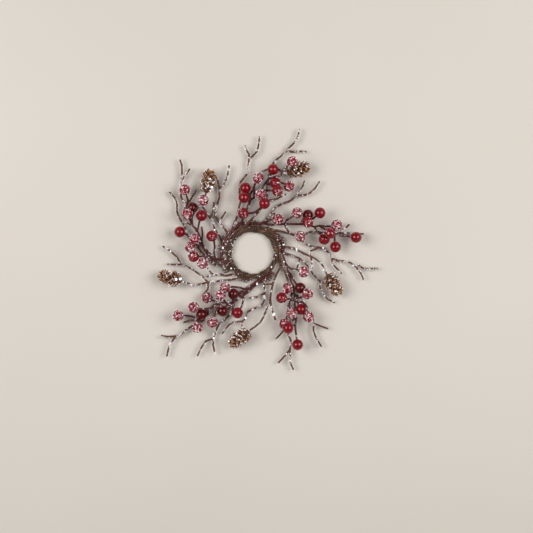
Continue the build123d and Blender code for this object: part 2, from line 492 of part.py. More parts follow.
# Stems and twigs, tapered lengths joined by knobs
def frustum(start, end, start_r, end_r):
    length = (end - start).length
    return Plane(origin=start, z_dir=end - start) * Cone(
        start_r, end_r, length, align=(Align.CENTER, Align.CENTER, Align.MIN), mode=Mode.PRIVATE)


def knob(centre, radius, way_in, way_out, side_ways):
    """A ball whose poles lie along the stem and whose seam lies away from its side shoots."""
    axis = way_in.normalized() + way_out.normalized()
    away = Vector(0, 0, 0)
    for way in side_ways:
        away -= way.normalized()
    if away.cross(axis).length < seam_least:
        away = Plane(origin=centre, z_dir=axis).x_dir
    return Plane(origin=centre, x_dir=away, z_dir=axis) * Sphere(radius, mode=Mode.PRIVATE)


for node in stems_px_share:
    runs = stem_runs(node)
    with BuildPart() as stem:
        for run, points, radii, seated in runs:
            lengths = [frustum(*ends) for ends in zip(points, points[1:], radii, radii[1:])]
            for index in range(1, len(points) - 1 if seated else len(points)):
                way_in = points[index] - points[index - 1]
                way_out = points[index + 1] - points[index] if index + 1 < len(points) else way_in
                side_ways = [other[1] - other[0] for name, other, thick, ends_in in runs
                             if other is not points and (other[0] - points[index]).length < same_point]
                lengths.append(knob(points[index], radii[index] * knob_factor, way_in, way_out, side_ways))
            add(lengths)
    stem.part.label = node
    print(node, round(stem.part.volume, 1), stem.part.is_valid, len(stem.part.solids()))
    export_step(stem.part, f"parts/{node}.step")


# Berries, each with a hole that its stalk sits in
for spray, places in berries_px_share.items():
    ways = {run: (points[-2], points[-1]) for run, points, radii, seated in stem_runs(f"berry_stem_{spray}")}
    with BuildPart() as berries:
        for name in places:
            before, seat = ways[name]
            out_way = (before - seat).normalized()
            side_way = Plane(origin=seat, z_dir=out_way).x_dir
            with Locations(Plane(origin=place(*places[name]), x_dir=-out_way, z_dir=side_way)):
                Sphere(berry_d / 2)
            with Locations(Plane(origin=seat - out_way * socket_play, z_dir=out_way)):
                Cylinder(stalk_d / 2 + socket_play, berry_hole_depth + overrun,
                         align=(Align.CENTER, Align.CENTER, Align.MIN), mode=Mode.SUBTRACT)
    berries.part.label = f"berries_{spray}"
    print(berries.part.label, round(berries.part.volume, 1), len(berries.part.solids()))
    export_step(berries.part, f"parts/berries_{spray}.step")


# Pine cone, a core with scales in a golden-angle spiral, modelled once and placed five times
core_share = [(0.06, 1), (0.12, 1), (0.3, 0.96), (0.55, 0.86), (0.8, 0.58), (1, 0.2)]
scale_reach_share = [(0, 0.72), (0.2, 1), (0.6, 1), (1, 0.5)]


def along_share(table_share, share):
    for (low, low_value), (high, high_value) in zip(table_share, table_share[1:]):
        if share <= high:
            return low_value + (high_value - low_value) * (share - low) / (high - low)
    return table_share[-1][1]


def core_radius(share):
    return along_share(core_share, share) * cone_core_d / 2


core_length = cone_length - scale_length / 2
base_open_deg, tip_open_deg = 66, 24
root_share, neck_share, shoulder_share = 0.3, 0.62, 0.66
with BuildPart() as pine_cone:
    with BuildSketch(Plane.XZ):
        with BuildLine():
            Polyline((0, 0), (cone_base_d / 2, 0), *[(core_radius(share), core_length * share)
                     for share, value in core_share], (0, core_length), close=True)
        make_face()
    revolve(axis=Axis.Z)
    scales = []
    for number in range(scale_count):
        share = (number + 1) / (scale_count + 1)
        azimuth = radians(golden_deg * number)
        opening = radians(base_open_deg + (tip_open_deg - base_open_deg) * share)
        length = scale_length * along_share(scale_reach_share, share)
        half = scale_width / 2 * length / scale_length
        outward = polar(sin(opening), azimuth, cos(opening))
        normal = polar(-cos(opening), azimuth, sin(opening))
        root = polar(core_radius(share), azimuth, core_length * share)
        with BuildSketch(Plane(origin=root, x_dir=outward, z_dir=normal)):
            with BuildLine():
                Polyline((-length * root_share, -half * root_share), (length * root_share, -half * neck_share),
                         (length * shoulder_share, -half), (length, 0), (length * shoulder_share, half),
                         (length * root_share, half * neck_share), (-length * root_share, half * root_share),
                         close=True)
            make_face()
        scales.append(extrude(amount=scale_thickness / 2, both=True, mode=Mode.PRIVATE))
    add(scales)
    Cylinder(twig_d / 2 + socket_play, 2 * cone_hole_depth, mode=Mode.SUBTRACT)
print("pine cone", round(pine_cone.part.volume, 1), pine_cone.part.is_valid, len(pine_cone.part.solids()))
for side, (base_share, tip_share) in cones_px_share.items():
    base, tip = place(*base_share), place(*tip_share)
    with BuildPart() as placed:
        add(Plane(origin=base, z_dir=tip - base) * pine_cone.part)
    placed.part.label = f"pine_cone_{side}"
    export_step(placed.part, f"parts/pine_cone_{side}.step")
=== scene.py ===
import json
import math
import random

import bpy
from mathutils import Euler, Matrix, Vector
from mathutils.bvhtree import BVHTree

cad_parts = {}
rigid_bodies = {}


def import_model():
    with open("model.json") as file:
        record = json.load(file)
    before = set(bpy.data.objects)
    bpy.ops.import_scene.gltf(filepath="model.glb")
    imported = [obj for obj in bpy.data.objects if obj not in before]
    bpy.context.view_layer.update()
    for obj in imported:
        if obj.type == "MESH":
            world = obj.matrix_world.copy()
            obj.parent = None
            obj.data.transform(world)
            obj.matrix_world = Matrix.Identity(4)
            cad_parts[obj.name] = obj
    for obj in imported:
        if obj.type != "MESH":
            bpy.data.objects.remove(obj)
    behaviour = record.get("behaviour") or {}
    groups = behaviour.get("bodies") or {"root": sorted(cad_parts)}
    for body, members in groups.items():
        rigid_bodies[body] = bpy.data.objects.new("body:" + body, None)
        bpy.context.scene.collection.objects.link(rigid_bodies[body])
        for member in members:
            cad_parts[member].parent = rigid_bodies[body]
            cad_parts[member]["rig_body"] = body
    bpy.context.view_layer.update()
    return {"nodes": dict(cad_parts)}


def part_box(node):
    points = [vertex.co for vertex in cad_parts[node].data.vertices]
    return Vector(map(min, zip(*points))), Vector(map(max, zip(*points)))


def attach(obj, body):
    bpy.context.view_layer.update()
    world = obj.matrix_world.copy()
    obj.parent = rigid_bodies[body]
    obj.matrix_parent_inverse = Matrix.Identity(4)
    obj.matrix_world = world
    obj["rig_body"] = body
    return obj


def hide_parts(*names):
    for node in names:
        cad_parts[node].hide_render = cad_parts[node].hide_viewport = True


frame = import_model()

mm = 0.001
sameSpot = 0.001 * mm
photo = {"size": 533, "ringX": 252.5, "ringY": 252.7, "pixel": 0.9 * mm, "rise": 10 * mm}
twigNodes = sorted(name for name in frame["nodes"] if name.startswith(("twig_", "cone_stem_")))
stemNodes = sorted(name for name in frame["nodes"] if name.startswith("berry_stem_"))
bindingNodes = sorted(name for name in frame["nodes"] if name.startswith("binding_wire_"))


def atPixel(px, py, heightShare=0.0):
    return Vector(((px - photo["ringX"]) * photo["pixel"], (photo["ringY"] - py) * photo["pixel"],
                   heightShare * photo["rise"]))


def pick(*chosen):  # select these alone
    bpy.ops.object.select_all(action="DESELECT")
    for piece in chosen:
        piece.select_set(True)
    bpy.context.view_layer.objects.active = chosen[0]


def choosePoints(piece, wanted):  # edit mode, with only the wanted points selected
    bpy.ops.object.mode_set(mode="EDIT")
    bpy.ops.mesh.select_mode(type="VERT")
    bpy.ops.mesh.select_all(action="DESELECT")
    bpy.ops.object.mode_set(mode="OBJECT")
    for vertex in piece.data.vertices:
        vertex.select = wanted(vertex.co)
    bpy.ops.object.mode_set(mode="EDIT")


def applied(piece, kind, **settings):
    pick(piece)
    modifier = piece.modifiers.new(kind.lower(), kind)
    for key, value in settings.items():
        setattr(modifier, key, value)
    bpy.ops.object.modifier_apply(modifier=modifier.name)


def turnedBody(sides, profile):  # a line through points of (radius, height), turned round Z
    bpy.ops.object.select_all(action="DESELECT")
    bpy.ops.mesh.primitive_grid_add(x_subdivisions=len(profile) - 1, y_subdivisions=1, size=2)
    piece = bpy.context.object
    choosePoints(piece, lambda place: place.y > 0)
    bpy.ops.mesh.delete(type="VERT")
    for index, (radius, height) in enumerate(profile):
        start = index / (len(profile) - 1) * 2 - 1
        choosePoints(piece, lambda place: place.y < -0.5 and abs(place.x - start) < 0.01)
        bpy.ops.transform.translate(value=(radius - start, 1, height))
    bpy.ops.object.mode_set(mode="OBJECT")
    applied(piece, "SCREW", steps=sides, render_steps=sides, use_smooth_shade=False,
            use_merge_vertices=True, merge_threshold=sameSpot)
    bpy.ops.object.mode_set(mode="EDIT")
    bpy.ops.mesh.select_all(action="SELECT")
    bpy.ops.mesh.normals_make_consistent(inside=False)
    bpy.ops.object.mode_set(mode="OBJECT")
    return piece


def copied(piece, name, matrix=None):  # each copy has its own mesh
    twin = bpy.data.objects.new(name, piece.data.copy())
    bpy.context.collection.objects.link(twin)
    if matrix is not None:
        twin.matrix_world = matrix
    return twin


def joined(name, parts):
    pick(*parts)
    bpy.ops.object.join()
    bpy.ops.object.transform_apply(location=True, rotation=True, scale=True)
    whole = bpy.context.object
    whole.name = whole.data.name = name
    return whole


def removed(piece):
    pick(piece)
    bpy.ops.object.delete()


def paint(piece, layerName, valueAt):  # an attribute that the materials and the frost read
    layer = piece.data.attributes.new(layerName, "FLOAT", "POINT")
    for vertex in piece.data.vertices:
        layer.data[vertex.index].value = valueAt(vertex.co, vertex.normal)


def finished(piece, slotName, material, *nodes):
    piece.data.materials.clear()
    piece.data.materials.append(material)
    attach(piece, "root")
    if nodes:
        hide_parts(*nodes)
    return piece


# Materials
def newMaterial(name, rough=None):
    material = bpy.data.materials.new(name)
    material.use_nodes = True
    tree = material.node_tree
    tree.nodes.clear()
    out = tree.nodes.new("ShaderNodeOutputMaterial")
    shader = tree.nodes.new("ShaderNodeBsdfPrincipled")
    tree.links.new(shader.outputs[0], out.inputs[0])
    if rough is not None:
        shader.inputs["Roughness"].default_value = rough
    return material, tree, shader


def speckle(tree, size, detail=4.0, rough=0.6):  # noise with spots of about this size
    where = tree.nodes.new("ShaderNodeTexCoord")
    texture = tree.nodes.new("ShaderNodeTexNoise")
    texture.inputs["Scale"].default_value = 1 / size
    texture.inputs["Detail"].default_value = detail
    texture.inputs["Roughness"].default_value = rough
    tree.links.new(where.outputs["Object"], texture.inputs["Vector"])
    return texture.outputs["Fac"]


def ramp(tree, source, *stops):
    node = tree.nodes.new("ShaderNodeValToRGB")
    elements = node.color_ramp.elements
    while len(elements) < len(stops):
        elements.new(0.5)
    for element, (place, colour) in zip(elements, stops):
        element.position = place
        element.color = (*colour, 1)
    tree.links.new(source, node.inputs[0])
    return node.outputs[0]


def blended(tree, factor, first, second, kind="MIX"):
    mix = tree.nodes.new("ShaderNodeMix")
    mix.data_type = "RGBA"
    mix.blend_type = kind
    for socket, value in ((mix.inputs[0], factor), (mix.inputs[6], first), (mix.inputs[7], second)):
        if isinstance(value, tuple):
            socket.default_value = (*value, 1)
        elif isinstance(value, (int, float)):
            socket.default_value = value
        else:
            tree.links.new(value, socket)
    return mix.outputs[2]


def sums(tree, operation, first, second, third=None):
    node = tree.nodes.new("ShaderNodeMath")
    node.operation = operation
    node.use_clamp = True
    for socket, value in zip(node.inputs, (first, second, third)):
        if isinstance(value, (int, float)):
            socket.default_value = value
        elif value is not None:
            tree.links.new(value, socket)
    return node.outputs[0]


def roughBump(tree, shader, source, strength, depth):
    bump = tree.nodes.new("ShaderNodeBump")
    bump.inputs["Strength"].default_value = strength
    bump.inputs["Distance"].default_value = depth
    tree.links.new(source, bump.inputs["Height"])
    tree.links.new(bump.outputs[0], shader.inputs["Normal"])


def painted(tree, layerName):
    node = tree.nodes.new("ShaderNodeAttribute")
    node.attribute_name = layerName
    return node.outputs["Fac"]


white, black = (1, 1, 1), (0, 0, 0)


bark = {"streak": 1.1 * mm, "filmPatch": 3.5 * mm, "shine": 0.25, "bump": 0.5, "bumpDepth": 0.2 * mm}


def barkMaterial(name, dark, light, sugar, rough):
    material, tree, shader = newMaterial(name, rough)
    streaks = speckle(tree, bark["streak"], 6, 0.7)
    brown = ramp(tree, streaks, (0.3, dark), (0.7, light))
    film = ramp(tree, speckle(tree, bark["filmPatch"], 2, 0.5), (0.50, black), (0.62, white))
    mask = sums(tree, "MULTIPLY", film, painted(tree, "frost"))
    shader.inputs["Specular IOR Level"].default_value = bark["shine"]
    tree.links.new(blended(tree, mask, brown, sugar), shader.inputs["Base Color"])
    roughBump(tree, shader, streaks, bark["bump"], bark["bumpDepth"])
    return material


lacquer = {"red": (0.15, 0.0004, 0.004), "brightRed": (0.30, 0.0008, 0.008),
           # the darkest red is painted shade, for berries that sit low in shade
           "paintedShadeRed": (0.095, 0.0003, 0.002),
           "film": (0.42, 0.15, 0.20), "redPatch": 4 * mm, "filmPatch": 1.6 * mm, "speck": 0.45 * mm,
           "rough": 0.12, "filmRough": 0.5, "shine": 0.45, "coat": 0.1, "coatRough": 0.07,
           "bump": 0.03, "bumpDepth": 0.1 * mm}


def berryMaterial():
    material, tree, shader = newMaterial("berryLacquer")
    speck = speckle(tree, lacquer["speck"], 4, 0.8)
    frost = painted(tree, "frost")
    patches = speckle(tree, lacquer["redPatch"], 3, 0.5)
    red = ramp(tree, patches, (0.35, lacquer["red"]), (0.7, lacquer["brightRed"]))
    # painted shade: berries with frost level 0 get the darkest red, standing in for the shade they sit in
    red = blended(tree, painted(tree, "deep"), red, lacquer["paintedShadeRed"])
    cover = ramp(tree, speckle(tree, lacquer["filmPatch"], 2, 0.5), (0.48, black), (0.58, white))
    specks = ramp(tree, speck, (0.35, black), (0.6, white))
    mask = sums(tree, "MULTIPLY", sums(tree, "MULTIPLY", cover, frost), specks)
    tree.links.new(blended(tree, mask, red, lacquer["film"]), shader.inputs["Base Color"])
    shader.inputs["Specular IOR Level"].default_value = lacquer["shine"]
    rough = sums(tree, "MULTIPLY_ADD", mask, lacquer["filmRough"], lacquer["rough"])
    tree.links.new(rough, shader.inputs["Roughness"])
    shader.inputs["Coat Weight"].default_value = lacquer["coat"]
    shader.inputs["Coat Roughness"].default_value = lacquer["coatRough"]
    roughBump(tree, shader, speck, lacquer["bump"], lacquer["bumpDepth"])
    return material


ice = {"dim": 0.82, "patch": 1.6 * mm, "coat": 0.5}


# frost also gets a white emission, painted light that makes it brighter than the lamps alone would
def frostMaterial(name, colour, rough, paintedGlow):
    material, tree, shader = newMaterial(name, rough)
    dim = tuple(part * ice["dim"] for part in colour)
    shade = ramp(tree, speckle(tree, ice["patch"], 2, 0.5), (0.3, dim), (0.7, colour))
    tree.links.new(shade, shader.inputs["Base Color"])
    shader.inputs["Coat Weight"].default_value = ice["coat"]
    shader.inputs["Emission Color"].default_value = (1, 1, 1, 1)
    # painted glow: white emission that stands in for light on the frost
    shader.inputs["Emission Strength"].default_value = paintedGlow
    return material


coneWood = {"dark": (0.050, 0.014, 0.007), "light": (0.15, 0.050, 0.022),
            "edgeDark": (0.36, 0.145, 0.06), "edgeLight": (0.66, 0.38, 0.20),
            "streak": 1.4 * mm, "rough": 0.75, "bump": 0.5, "bumpDepth": 0.2 * mm}


def coneMaterial():
    material, tree, shader = newMaterial("coneScales", coneWood["rough"])
    streaks = speckle(tree, coneWood["streak"], 5, 0.7)
    brown = ramp(tree, streaks, (0.3, coneWood["dark"]), (0.7, coneWood["light"]))
    ochre = ramp(tree, streaks, (0.3, coneWood["edgeDark"]), (0.7, coneWood["edgeLight"]))
    tree.links.new(blended(tree, painted(tree, "edge"), brown, ochre), shader.inputs["Base Color"])
    roughBump(tree, shader, streaks, coneWood["bump"], coneWood["bumpDepth"])
    return material


vineSkin = {"fibre": 2 * mm, "shadePatch": 8 * mm, "rough": 0.7, "bump": 0.7, "bumpDepth": 0.25 * mm}


def vineMaterial(name, dark, light, ochre):
    material, tree, shader = newMaterial(name, vineSkin["rough"])
    fibre = speckle(tree, vineSkin["fibre"], 7, 0.75)
    brown = ramp(tree, fibre, (0.28, dark), (0.55, light), (0.78, ochre))
    patches = speckle(tree, vineSkin["shadePatch"], 3, 0.6)
    shade = ramp(tree, patches, (0.35, (0.6, 0.55, 0.52)), (0.65, (1.1, 1.05, 1.0)))
    tree.links.new(blended(tree, 1.0, brown, shade, "MULTIPLY"), shader.inputs["Base Color"])
    roughBump(tree, shader, fibre, vineSkin["bump"], vineSkin["bumpDepth"])
    return material


twigBark = barkMaterial("twigBark", (0.040, 0.014, 0.009), (0.19, 0.078, 0.046), (0.42, 0.32, 0.33), 0.6)
stemWrap = barkMaterial("stemWrap", (0.040, 0.006, 0.007), (0.115, 0.020, 0.020), (0.30, 0.18, 0.19), 0.5)
berryLacquer = berryMaterial()
# the last number is painted light: a faint glow on the grains and a bright painted glint on the crystals
frostGrain = frostMaterial("frostGrain", (0.95, 0.91, 0.93), 0.25, 0.2)
frostCrystal = frostMaterial("frostCrystal", (0.95, 0.95, 0.97), 0.12, 1.0)
coneScales = coneMaterial()
vineBark = vineMaterial("vineBark", (0.030, 0.014, 0.008), (0.105, 0.054, 0.030), (0.22, 0.130, 0.072))
vineFibre = vineMaterial("vineFibre", (0.07, 0.036, 0.02), (0.20, 0.12, 0.06), (0.36, 0.24, 0.12))
bindingWrap = barkMaterial("bindingWrap", (0.050, 0.020, 0.013), (0.17, 0.078, 0.048), (0.40, 0.33, 0.33),
                           0.65)
print("materials done")


# Frost: one small grain with four sides, scattered over a copy of each piece
grain = {"least": 0.4 * mm, "most": 1.3 * mm, "patch": 3.5 * mm, "bare": 0.50, "each": 0.9 * mm ** 2,
         "patchEdge": 9.0, "fromAbove": 0.75, "anySide": 0.40}
grainShape = turnedBody(4, ((0, -0.5), (0.433, -0.25), (0.433, 0.25), (0, 0.5)))
grainShape.name = "grainShape"


def scatterNodes():
    group = bpy.data.node_groups.new("frostScatter", "GeometryNodeTree")
    group.interface.new_socket("Geometry", in_out="INPUT", socket_type="NodeSocketGeometry")
    group.interface.new_socket("Geometry", in_out="OUTPUT", socket_type="NodeSocketGeometry")
    add, link = group.nodes.new, group.links.new
    start, end = add("NodeGroupInput"), add("NodeGroupOutput")
    upward, parts = add("GeometryNodeInputNormal"), add("ShaderNodeSeparateXYZ")
    link(upward.outputs[0], parts.inputs[0])
    place, patches = add("GeometryNodeInputPosition"), add("ShaderNodeTexNoise")
    link(place.outputs[0], patches.inputs["Vector"])
    layer = add("GeometryNodeInputNamedAttribute")
    layer.data_type = "FLOAT"
    layer.inputs["Name"].default_value = "frost"
    lit = sums(group, "MULTIPLY_ADD", parts.outputs["Z"], grain["fromAbove"], grain["anySide"])
    bare = sums(group, "SUBTRACT", patches.outputs["Fac"], grain["bare"])
    patchy = sums(group, "MULTIPLY", bare, grain["patchEdge"])
    share = sums(group, "MULTIPLY", sums(group, "MULTIPLY", lit, patchy), layer.outputs["Attribute"])
    crowd = add("ShaderNodeMath")
    crowd.operation = "MULTIPLY"
    link(share, crowd.inputs[0])
    spread = add("GeometryNodeDistributePointsOnFaces")
    spread.distribute_method = "RANDOM"
    link(start.outputs[0], spread.inputs["Mesh"])
    link(crowd.outputs[0], spread.inputs["Density"])
    turn, size = add("FunctionNodeRandomValue"), add("FunctionNodeRandomValue")
    turn.data_type = "FLOAT_VECTOR"
    turn.inputs[1].default_value = (math.tau, math.tau, math.tau)
    size.data_type = "FLOAT"
    shape = add("GeometryNodeObjectInfo")
    shape.inputs["Object"].default_value = grainShape
    copies = add("GeometryNodeInstanceOnPoints")
    link(spread.outputs["Points"], copies.inputs["Points"])
    link(shape.outputs["Geometry"], copies.inputs["Instance"])
    link(turn.outputs[0], copies.inputs["Rotation"])
    link(size.outputs[1], copies.inputs["Scale"])
    real = add("GeometryNodeRealizeInstances")
    link(copies.outputs[0], real.inputs[0])
    link(real.outputs[0], end.inputs[0])
    return group, {"patches": patches, "bare": bare.node, "crowd": crowd, "spread": spread, "size": size}


scatterGroup, scatter = scatterNodes()
frostCount = 0


def frosted(piece, seed, **changes):  # grains where the painted frost layer asks for them
    global frostCount
    look = {**grain, **changes}
    scatter["patches"].inputs["Scale"].default_value = 1 / look["patch"]
    scatter["bare"].inputs[1].default_value = look["bare"]
    scatter["crowd"].inputs[1].default_value = 1 / look["each"]
    scatter["spread"].inputs["Seed"].default_value = seed
    scatter["size"].inputs[2].default_value = look["least"]
    scatter["size"].inputs[3].default_value = look["most"]
    layer = copied(piece, f"frost_{piece.name}")
    modifier = layer.modifiers.new("scatter", "NODES")
    modifier.node_group = scatterGroup
    found = len(layer.evaluated_get(bpy.context.evaluated_depsgraph_get()).data.polygons)
    if not found:
        removed(layer)
        return None
    pick(layer)
    bpy.ops.object.modifier_apply(modifier=modifier.name)
    frostCount += found
    return finished(layer, "frost", frostGrain)


# Twigs, stems and bindings, grown rough from the CAD lengths
twig = {"voxel": 0.33 * mm, "grow": 0.28 * mm, "knots": 0.34 * mm, "knotSize": 1.7 * mm,
        "flakes": 0.16 * mm, "flakeSize": 0.5 * mm}
stem = {"voxel": 0.30 * mm, "grow": 0.28 * mm, "knots": 0.12 * mm, "knotSize": 2.4 * mm,
        "flakes": 0.08 * mm, "flakeSize": 0.6 * mm, "frost": 0.4, "bare": 0.53}
binding = {"voxel": 0.15 * mm, "grow": -0.2 * mm, "knots": 0.1 * mm, "knotSize": 1.2 * mm,
           "flakes": 0.06 * mm, "flakeSize": 0.4 * mm}
vine = {"voxel": 0.2 * mm, "grow": 0.25 * mm, "knots": 0.2 * mm, "knotSize": 1.2 * mm,
        "flakes": 0.16 * mm, "flakeSize": 0.4 * mm}


def cloud(name, size):
    texture = bpy.data.textures.new(name, "CLOUDS")
    texture.noise_scale = size
    texture.noise_depth = 3
    return texture


def roughened(name, node, look):
    piece = copied(frame["nodes"][node], name)
    pick(piece)
    bpy.ops.object.mode_set(mode="EDIT")
    bpy.ops.mesh.select_all(action="SELECT")
    bpy.ops.mesh.remove_doubles(threshold=sameSpot)
    bpy.ops.object.mode_set(mode="OBJECT")
    applied(piece, "REMESH", mode="VOXEL", voxel_size=look["voxel"], use_smooth_shade=True)
    for depth, size, grow in (("knots", "knotSize", look["grow"]), ("flakes", "flakeSize", 0)):
        applied(piece, "DISPLACE", texture=cloud(f"{name}_{depth}", look[size]), strength=look[depth],
                mid_level=0.5 - grow / look[depth], texture_coords="LOCAL")
    return piece


twigFrost = {"least": 0.12, "from": 26 * mm, "over": 14 * mm}


def outward(place):  # twigs are frostier towards their tips
    out = (math.hypot(place.x, place.y) - twigFrost["from"]) / twigFrost["over"]
    return min(1, max(twigFrost["least"], out))


for number, node in enumerate(twigNodes):
    piece = roughened(f"{node}_bark", node, twig)
    paint(piece, "frost", lambda place, normal: outward(place) * min(1, max(0, normal.z * 0.7 + 0.5)))
    finished(piece, "twig", twigBark, node)
    frosted(piece, 100 + number)
for number, node in enumerate(stemNodes):
    piece = roughened(f"{node}_wrap", node, stem)
    paint(piece, "frost", lambda place, normal: stem["frost"] * min(1, max(0, normal.z * 0.5 + 0.4)))
    finished(piece, "stem", stemWrap, node)
    frosted(piece, 200 + number, bare=stem["bare"])
print("twigs and stems done", frostCount)

# Berries: place and height in the photograph's pixels, and how frosted each is; a level of 0 also gives the
# berry a darker red, painted shade for berries that sit low in shade
berry = {"radius": 5 * mm, "segments": 40, "rings": 28, "dimple": 0.5 * mm, "dimpleReach": 1.4 * mm,
         "wobble": 0.12 * mm, "wobbleSize": 3.5 * mm}
berryFrost = {"each": 0.4 * mm ** 2, "least": 0.3 * mm, "most": 1.0 * mm, "patch": 2.0 * mm, "bare": 0.51}
berries = {
    "top": ((243.3, 213.5, 1.5, 0.3), (244, 197.9, 1.55, 0.05), (245.3, 188, 0.95, 0.1),
            (264.5, 204, 1.9, 0.1), (260.6, 194.7, 1.4, 1.0), (258.3, 178.6, 1.6, 0.8),
            (273.1, 169.8, 1.4, 0.1), (275.3, 183.2, 1.25, 0.35), (277.5, 191.6, 1.9, 0.4),
            (289, 186.5, 1.25, 0.6), (292.1, 162.4, 1.95, 0.8)),
    "right": ((277.7, 219.4, 1.2, 0.8), (296.9, 213.1, 1.4, 0.8), (307.9, 215, 0.9, 0),
              (307.6, 222.4, 1.75, 0.35), (319.8, 213.1, 1.4, 0.05), (300.1, 236.4, 1.3, 1.0),
              (329.6, 233.5, 1.9, 0.3), (324.1, 239.4, 1.1, 0.05), (336.5, 225.2, 1.45, 1.0),
              (355.9, 237.4, 1.2, 0.05), (335.3, 247, 1.2, 0.05)),
    "lower_right": ((303.4, 272, 1.3, 0.8), (287.2, 288.5, 1.2, 0.8), (281.5, 297.7, 1.7, 0.35),
                    (300.2, 288, 1.0, 0), (307.4, 293.8, 1.65, 0.8), (301, 309.4, 0.95, 0.1),
                    (308.3, 316.8, 1.4, 0.8), (291.5, 313.2, 1.4, 0.8), (284.3, 323.7, 0.98, 0.8),
                    (287.9, 327.6, 1.9, 0.05), (297.5, 344.6, 1.2, 0.05)),
    "lower_left": ((178.4, 315.6, 1.2, 0.8), (194, 307.1, 1.6, 0.8), (207.3, 297.9, 0.9, 0.6),
                   (201.5, 314.3, 1.08, 0), (212.6, 322.1, 1.4, 0.8), (197.5, 327.6, 1.3, 0.8),
                   (237.6, 312.8, 1.3, 0.05), (220.7, 295.3, 2.0, 0.9), (225.2, 287.6, 1.35, 0.7),
                   (233.4, 294, 0.9, 0), (222.3, 311, 0.75, 0)),
    "left": ((185, 190, 1.2, 0.8), (203.7, 200.7, 1.6, 0.8), (192.5, 207.8, 0.9, 0),
             (187.4, 214.1, 1.65, 0.8), (201.9, 215.9, 1.4, 0.05), (194.9, 239.4, 1.9, 0.9),
             (180, 232, 1.1, 0.05), (190.4, 247, 1.2, 0.7), (194, 256.6, 1.65, 0.35),
             (203, 263.5, 1.85, 0.8), (212, 236.2, 1.5, 0.3))}

ballProfile = [(0, -berry["radius"])]
for step in range(1, berry["rings"]):
    slope = math.pi * step / berry["rings"]
    radius, height = berry["radius"] * math.sin(slope), -berry["radius"] * math.cos(slope)
    near = max(0, 1 - radius / berry["dimpleReach"]) if height > 0 else 0  # the blossom end
    ballProfile.append((radius, height - berry["dimple"] * near * near * (3 - 2 * near)))
ballProfile.append((0, berry["radius"] - berry["dimple"]))
ball = turnedBody(berry["segments"], ballProfile)
bpy.ops.object.shade_smooth()

for number, (spray, spots) in enumerate(berries.items()):
    dice = random.Random(300 + number)
    balls = []
    for index, (px, py, height, level) in enumerate(spots):
        turn = Euler((dice.uniform(0.6, 2.4), 0, dice.uniform(0, math.tau))).to_matrix().to_4x4()
        one = copied(ball, f"ball_{index}", Matrix.Translation(atPixel(px, py, height)) @ turn)
        patch = Vector((dice.uniform(-1, 1), dice.uniform(-1, 1), dice.uniform(0, 1))).normalized()

        def cover(place, normal):
            way = (turn.to_3x3() @ place).normalized()
            side = 1.0 if level > 0.5 else min(1, max(0, way.dot(patch) * 1.6 + 0.1))
            return 0.0 if level < 0.2 else min(1, level * 1.2) * side * min(1, max(0.3, way.z * 0.8 + 0.6))

        paint(one, "frost", cover)
        # painted shade layer: 1 on the berries with frost level 0, which sit low in shade
        paint(one, "deep", lambda place, normal: 1.0 if level == 0 else 0.0)
        balls.append(one)
    piece = joined(f"berries_{spray}_lacquer", balls)
    applied(piece, "DISPLACE", texture=cloud(f"{piece.name}_wobble", berry["wobbleSize"]),
            strength=berry["wobble"], mid_level=0.5, texture_coords="LOCAL")
    finished(piece, "berry", berryLacquer, f"berries_{spray}")
    frosted(piece, 300 + number, **berryFrost)
removed(ball)
print("berries done", frostCount)

# Pine cones: base and tip in the photograph's pixels, with their heights
cone = {"length": 21.5 * mm, "core": 2.9 * mm, "coreLengthShare": 0.93, "coreRings": 16, "coreSides": 20,
        "scales": 40, "golden": 137.508, "reach": 6.2 * mm, "rootShare": 0.15, "width": 4.7 * mm,
        "thick": 0.65 * mm, "liftShare": 0.42, "arch": 0.10, "archDrop": 0.24, "openBase": 82, "openTip": 38,
        "crease": 50, "scaleSeatShare": 0.75, "scaleTopShare": 0.86, "scaleStart": 0.6 * mm}
coneFrost = {"each": 1.5 * mm ** 2, "least": 0.6 * mm, "most": 1.7 * mm, "patch": 3 * mm, "bare": 0.50}
coneRim = {"least": 0.05, "from": 2.6 * mm, "over": 3 * mm}
cones = {"top_right": ((287, 173.5, 0.95), (310, 165.5, 0.85)),
         "top_left": ((206, 193, 1.0), (210.3, 169.8, 0.85)),
         "left": ((181.5, 281, 0.95), (158.5, 274.5, 0.85)),
         "bottom": ((249, 331, 0.95), (230, 345.5, 0.85)),
         "right": ((327, 274.5, 0.95), (341, 297, 0.85))}

# One scale, root at the origin, reaching along X with its upper side towards Z
scaleRows = ((0.30, 0.0), (0.42, 0.0), (0.86, 0.06), (1.0, 0.15), (0.74, 0.30), (0.26, 0.46))  # width, lift
scaleColumns = (-1, -0.5, 0, 0.5, 1)
bpy.ops.object.select_all(action="DESELECT")
bpy.ops.mesh.primitive_grid_add(x_subdivisions=len(scaleRows) - 1, y_subdivisions=len(scaleColumns) - 1,
                                size=2)
coneScale = bpy.context.object
for column in scaleColumns:
    choosePoints(coneScale, lambda place: abs(place.y - column) < 0.01)
    bpy.ops.transform.translate(value=(0, 0, cone["arch"] - cone["archDrop"] * column ** 2))
for row, (wide, lift) in enumerate(scaleRows):
    share = row / (len(scaleRows) - 1)
    flat = share * 2 - 1
    along = share * (1 + cone["rootShare"]) - cone["rootShare"]
    half = wide * cone["width"] / 2
    choosePoints(coneScale, lambda place: abs(place.x - flat) < 0.01)
    bpy.ops.transform.resize(value=(1, half, half), center_override=(0, 0, 0))
    rise = lift * cone["reach"] * cone["liftShare"]
    bpy.ops.transform.translate(value=(along * cone["reach"] - flat, 0, rise))
bpy.ops.object.mode_set(mode="OBJECT")
applied(coneScale, "SOLIDIFY", thickness=cone["thick"], offset=0)
paint(coneScale, "edge", lambda place, normal: min(1, max(0, place.x / cone["reach"] - 0.55) * 2.3
                                                   + (0.25 if abs(place.y) > 0.4 * cone["width"] else 0)))
bpy.ops.object.shade_smooth_by_angle(angle=math.radians(cone["crease"]))


def coreRadius(share):
    return cone["core"] * (1 - share ** 4) ** 0.5


